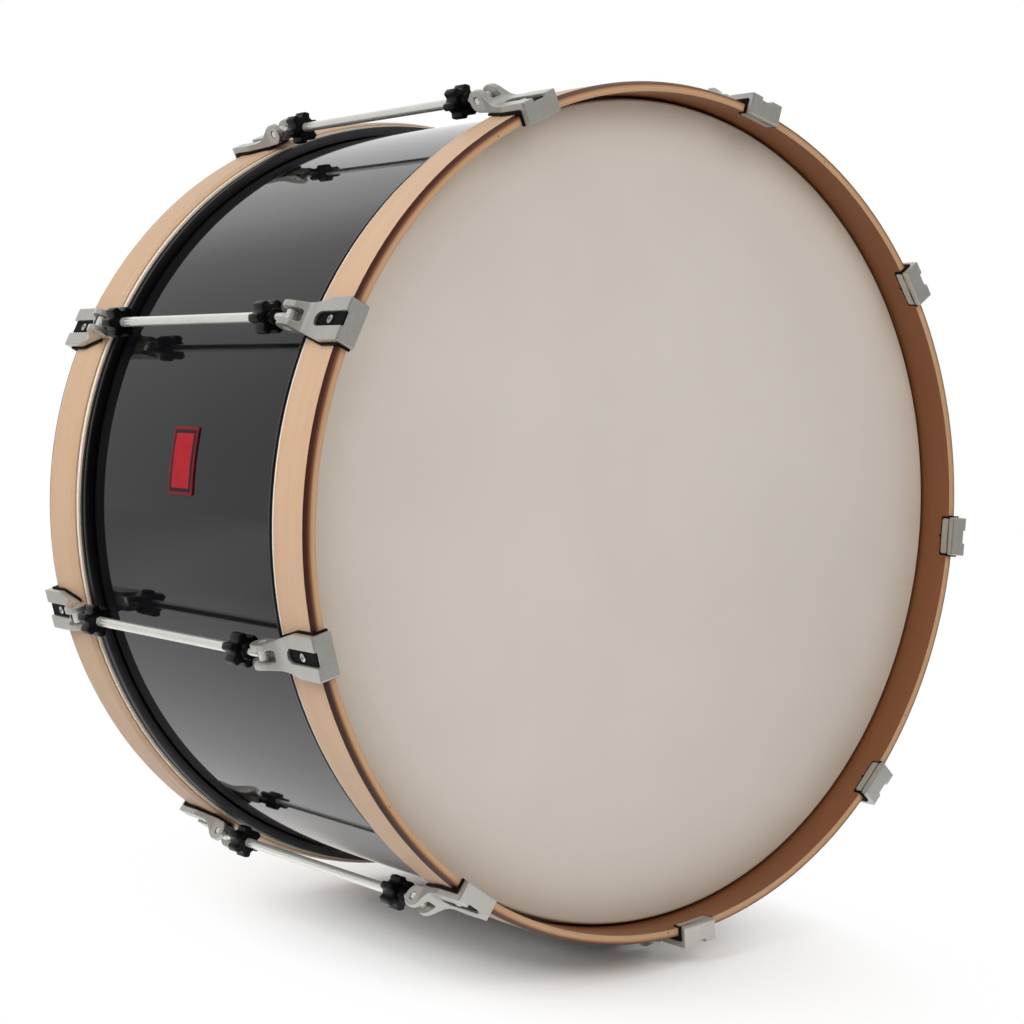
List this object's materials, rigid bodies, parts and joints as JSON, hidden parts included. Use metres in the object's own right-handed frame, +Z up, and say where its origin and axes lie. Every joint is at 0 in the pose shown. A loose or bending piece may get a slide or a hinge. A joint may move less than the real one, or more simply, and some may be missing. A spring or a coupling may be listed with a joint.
{
  "type": "marching bass drum",
  "caption": "Marching bass drum: a gloss black shell between white heads held by maple hoops, claws and tension rods with star knobs; claws swing off and knobs turn.",
  "frame": {"origin": "on the floor, under the middle of the object's box; the drum's axis is 4.6 mm to the -X side of it and 368.0 mm above it", "axes": "+Z up, +Y along the drum's axis from the front head to the rear head, +X to the right as seen from the front head; the front head faces -Y"},
  "size_m": [0.7262, 0.4214, 0.7232],
  "materials": {
    "shell_lacquer": "high gloss black lacquer over wood",
    "bare_wood": "sanded, inside the shell",
    "head_film": "smooth white coated polyester film",
    "flesh_hoop_metal": "dark grey satin",
    "hoop_maple": "clear satin lacquer",
    "rod_steel": "bright turned steel",
    "claw_metal": "fine matte die casting",
    "knob_plastic": "black moulded plastic",
    "badge_plate": "glossy dark red, plain",
    "eyelet_metal": "polished"
  },
  "bodies": {
    "drum": {"shell": "shell_lacquer", "badge": "badge_plate", "vent_eyelet": "eyelet_metal", "reinforcement_ring_front": "bare_wood", "head_front": "head_film", "flesh_hoop_front": "flesh_hoop_metal", "hoop_front": "hoop_maple", "reinforcement_ring_rear": "bare_wood", "head_rear": "head_film", "flesh_hoop_rear": "flesh_hoop_metal", "hoop_rear": "hoop_maple", "rod_1": "rod_steel", "rod_2": "rod_steel", "rod_3": "rod_steel", "rod_4": "rod_steel", "rod_5": "rod_steel", "rod_6": "rod_steel", "rod_7": "rod_steel", "rod_8": "rod_steel", "rod_9": "rod_steel"},
    "claw_front_1": {"claw_front_1": "claw_metal"},
    "knob_front_1": {"knob_front_1": "knob_plastic"},
    "claw_front_2": {"claw_front_2": "claw_metal"},
    "knob_front_2": {"knob_front_2": "knob_plastic"},
    "claw_front_3": {"claw_front_3": "claw_metal"},
    "knob_front_3": {"knob_front_3": "knob_plastic"},
    "claw_front_4": {"claw_front_4": "claw_metal"},
    "knob_front_4": {"knob_front_4": "knob_plastic"},
    "claw_front_5": {"claw_front_5": "claw_metal"},
    "knob_front_5": {"knob_front_5": "knob_plastic"},
    "claw_front_6": {"claw_front_6": "claw_metal"},
    "knob_front_6": {"knob_front_6": "knob_plastic"},
    "claw_front_7": {"claw_front_7": "claw_metal"},
    "knob_front_7": {"knob_front_7": "knob_plastic"},
    "claw_front_8": {"claw_front_8": "claw_metal"},
    "knob_front_8": {"knob_front_8": "knob_plastic"},
    "claw_front_9": {"claw_front_9": "claw_metal"},
    "knob_front_9": {"knob_front_9": "knob_plastic"},
    "claw_rear_1": {"claw_rear_1": "claw_metal"},
    "knob_rear_1": {"knob_rear_1": "knob_plastic"},
    "claw_rear_2": {"claw_rear_2": "claw_metal"},
    "knob_rear_2": {"knob_rear_2": "knob_plastic"},
    "claw_rear_3": {"claw_rear_3": "claw_metal"},
    "knob_rear_3": {"knob_rear_3": "knob_plastic"},
    "claw_rear_4": {"claw_rear_4": "claw_metal"},
    "knob_rear_4": {"knob_rear_4": "knob_plastic"},
    "claw_rear_5": {"claw_rear_5": "claw_metal"},
    "knob_rear_5": {"knob_rear_5": "knob_plastic"},
    "claw_rear_6": {"claw_rear_6": "claw_metal"},
    "knob_rear_6": {"knob_rear_6": "knob_plastic"},
    "claw_rear_7": {"claw_rear_7": "claw_metal"},
    "knob_rear_7": {"knob_rear_7": "knob_plastic"},
    "claw_rear_8": {"claw_rear_8": "claw_metal"},
    "knob_rear_8": {"knob_rear_8": "knob_plastic"},
    "claw_rear_9": {"claw_rear_9": "claw_metal"},
    "knob_rear_9": {"knob_rear_9": "knob_plastic"}
  },
  "joints": [
    {"name": "claw_swing_front_1", "type": "hinge", "parent": "drum", "child": "claw_front_1", "pos_m": [0.09571, -0.148, 0.70977], "axis": [-0.9596, 0, 0.2815], "range_deg": [0, 90]},
    {"name": "knob_turn_front_1", "type": "hinge", "parent": "drum", "child": "knob_front_1", "pos_m": [0.09571, -0.116, 0.70977], "axis": [0, 1, 0], "continuous": true},
    {"name": "claw_swing_front_2", "type": "hinge", "parent": "drum", "child": "claw_front_2", "pos_m": [0.29043, -0.148, 0.56763], "axis": [-0.5605, 0, 0.8282], "range_deg": [0, 90]},
    {"name": "knob_turn_front_2", "type": "hinge", "parent": "drum", "child": "knob_front_2", "pos_m": [0.29043, -0.116, 0.56763], "axis": [0, 1, 0], "continuous": true},
    {"name": "claw_swing_front_3", "type": "hinge", "parent": "drum", "child": "claw_front_3", "pos_m": [0.35007, -0.148, 0.33464], "axis": [0.0936, 0, 0.9956], "range_deg": [0, 90]},
    {"name": "knob_turn_front_3", "type": "hinge", "parent": "drum", "child": "knob_front_3", "pos_m": [0.35007, -0.116, 0.33464], "axis": [0, 1, 0], "continuous": true},
    {"name": "claw_swing_front_4", "type": "hinge", "parent": "drum", "child": "claw_front_4", "pos_m": [0.24577, -0.148, 0.11457], "axis": [0.7114, 0, 0.7028], "range_deg": [0, 90]},
    {"name": "knob_turn_front_4", "type": "hinge", "parent": "drum", "child": "knob_front_4", "pos_m": [0.24577, -0.116, 0.11457], "axis": [0, 1, 0], "continuous": true},
    {"name": "claw_swing_front_5", "type": "hinge", "parent": "drum", "child": "claw_front_5", "pos_m": [0.02543, -0.148, 0.01304], "axis": [0.9964, 0, 0.0842], "range_deg": [0, 90]},
    {"name": "knob_turn_front_5", "type": "hinge", "parent": "drum", "child": "knob_front_5", "pos_m": [0.02543, -0.116, 0.01304], "axis": [0, 1, 0], "continuous": true},
    {"name": "claw_swing_front_6", "type": "hinge", "parent": "drum", "child": "claw_front_6", "pos_m": [-0.21085, -0.148, 0.07759], "axis": [0.8152, 0, -0.5791], "range_deg": [0, 90]},
    {"name": "knob_turn_front_6", "type": "hinge", "parent": "drum", "child": "knob_front_6", "pos_m": [-0.21085, -0.116, 0.07759], "axis": [0, 1, 0], "continuous": true},
    {"name": "claw_swing_front_7", "type": "hinge", "parent": "drum", "child": "claw_front_7", "pos_m": [-0.34971, -0.148, 0.27994], "axis": [0.2472, 0, -0.969], "range_deg": [0, 90]},
    {"name": "knob_turn_front_7", "type": "hinge", "parent": "drum", "child": "knob_front_7", "pos_m": [-0.34971, -0.116, 0.27994], "axis": [0, 1, 0], "continuous": true},
    {"name": "claw_swing_front_8", "type": "hinge", "parent": "drum", "child": "claw_front_8", "pos_m": [-0.32463, -0.148, 0.52429], "axis": [-0.4388, 0, -0.8986], "range_deg": [0, 90]},
    {"name": "knob_turn_front_8", "type": "hinge", "parent": "drum", "child": "knob_front_8", "pos_m": [-0.32463, -0.116, 0.52429], "axis": [0, 1, 0], "continuous": true},
    {"name": "claw_swing_front_9", "type": "hinge", "parent": "drum", "child": "claw_front_9", "pos_m": [-0.14768, -0.148, 0.69416], "axis": [-0.9157, 0, -0.4018], "range_deg": [0, 90]},
    {"name": "knob_turn_front_9", "type": "hinge", "parent": "drum", "child": "knob_front_9", "pos_m": [-0.14768, -0.116, 0.69416], "axis": [0, 1, 0], "continuous": true},
    {"name": "claw_swing_rear_1", "type": "hinge", "parent": "drum", "child": "claw_rear_1", "pos_m": [0.09571, 0.148, 0.70977], "axis": [0.9596, 0, -0.2815], "range_deg": [0, 90]},
    {"name": "knob_turn_rear_1", "type": "hinge", "parent": "drum", "child": "knob_rear_1", "pos_m": [0.09571, 0.116, 0.70977], "axis": [0, 1, 0], "continuous": true},
    {"name": "claw_swing_rear_2", "type": "hinge", "parent": "drum", "child": "claw_rear_2", "pos_m": [0.29043, 0.148, 0.56763], "axis": [0.5605, 0, -0.8282], "range_deg": [0, 90]},
    {"name": "knob_turn_rear_2", "type": "hinge", "parent": "drum", "child": "knob_rear_2", "pos_m": [0.29043, 0.116, 0.56763], "axis": [0, 1, 0], "continuous": true},
    {"name": "claw_swing_rear_3", "type": "hinge", "parent": "drum", "child": "claw_rear_3", "pos_m": [0.35007, 0.148, 0.33464], "axis": [-0.0936, 0, -0.9956], "range_deg": [0, 90]},
    {"name": "knob_turn_rear_3", "type": "hinge", "parent": "drum", "child": "knob_rear_3", "pos_m": [0.35007, 0.116, 0.33464], "axis": [0, 1, 0], "continuous": true},
    {"name": "claw_swing_rear_4", "type": "hinge", "parent": "drum", "child": "claw_rear_4", "pos_m": [0.24577, 0.148, 0.11457], "axis": [-0.7114, 0, -0.7028], "range_deg": [0, 90]},
    {"name": "knob_turn_rear_4", "type": "hinge", "parent": "drum", "child": "knob_rear_4", "pos_m": [0.24577, 0.116, 0.11457], "axis": [0, 1, 0], "continuous": true},
    {"name": "claw_swing_rear_5", "type": "hinge", "parent": "drum", "child": "claw_rear_5", "pos_m": [0.02543, 0.148, 0.01304], "axis": [-0.9964, 0, -0.0842], "range_deg": [0, 90]},
    {"name": "knob_turn_rear_5", "type": "hinge", "parent": "drum", "child": "knob_rear_5", "pos_m": [0.02543, 0.116, 0.01304], "axis": [0, 1, 0], "continuous": true},
    {"name": "claw_swing_rear_6", "type": "hinge", "parent": "drum", "child": "claw_rear_6", "pos_m": [-0.21085, 0.148, 0.07759], "axis": [-0.8152, 0, 0.5791], "range_deg": [0, 90]},
    {"name": "knob_turn_rear_6", "type": "hinge", "parent": "drum", "child": "knob_rear_6", "pos_m": [-0.21085, 0.116, 0.07759], "axis": [0, 1, 0], "continuous": true},
    {"name": "claw_swing_rear_7", "type": "hinge", "parent": "drum", "child": "claw_rear_7", "pos_m": [-0.34971, 0.148, 0.27994], "axis": [-0.2472, 0, 0.969], "range_deg": [0, 90]},
    {"name": "knob_turn_rear_7", "type": "hinge", "parent": "drum", "child": "knob_rear_7", "pos_m": [-0.34971, 0.116, 0.27994], "axis": [0, 1, 0], "continuous": true},
    {"name": "claw_swing_rear_8", "type": "hinge", "parent": "drum", "child": "claw_rear_8", "pos_m": [-0.32463, 0.148, 0.52429], "axis": [0.4388, 0, 0.8986], "range_deg": [0, 90]},
    {"name": "knob_turn_rear_8", "type": "hinge", "parent": "drum", "child": "knob_rear_8", "pos_m": [-0.32463, 0.116, 0.52429], "axis": [0, 1, 0], "continuous": true},
    {"name": "claw_swing_rear_9", "type": "hinge", "parent": "drum", "child": "claw_rear_9", "pos_m": [-0.14768, 0.148, 0.69416], "axis": [0.9157, 0, 0.4018], "range_deg": [0, 90]},
    {"name": "knob_turn_rear_9", "type": "hinge", "parent": "drum", "child": "knob_rear_9", "pos_m": [-0.14768, 0.116, 0.69416], "axis": [0, 1, 0], "continuous": true}
  ]
}
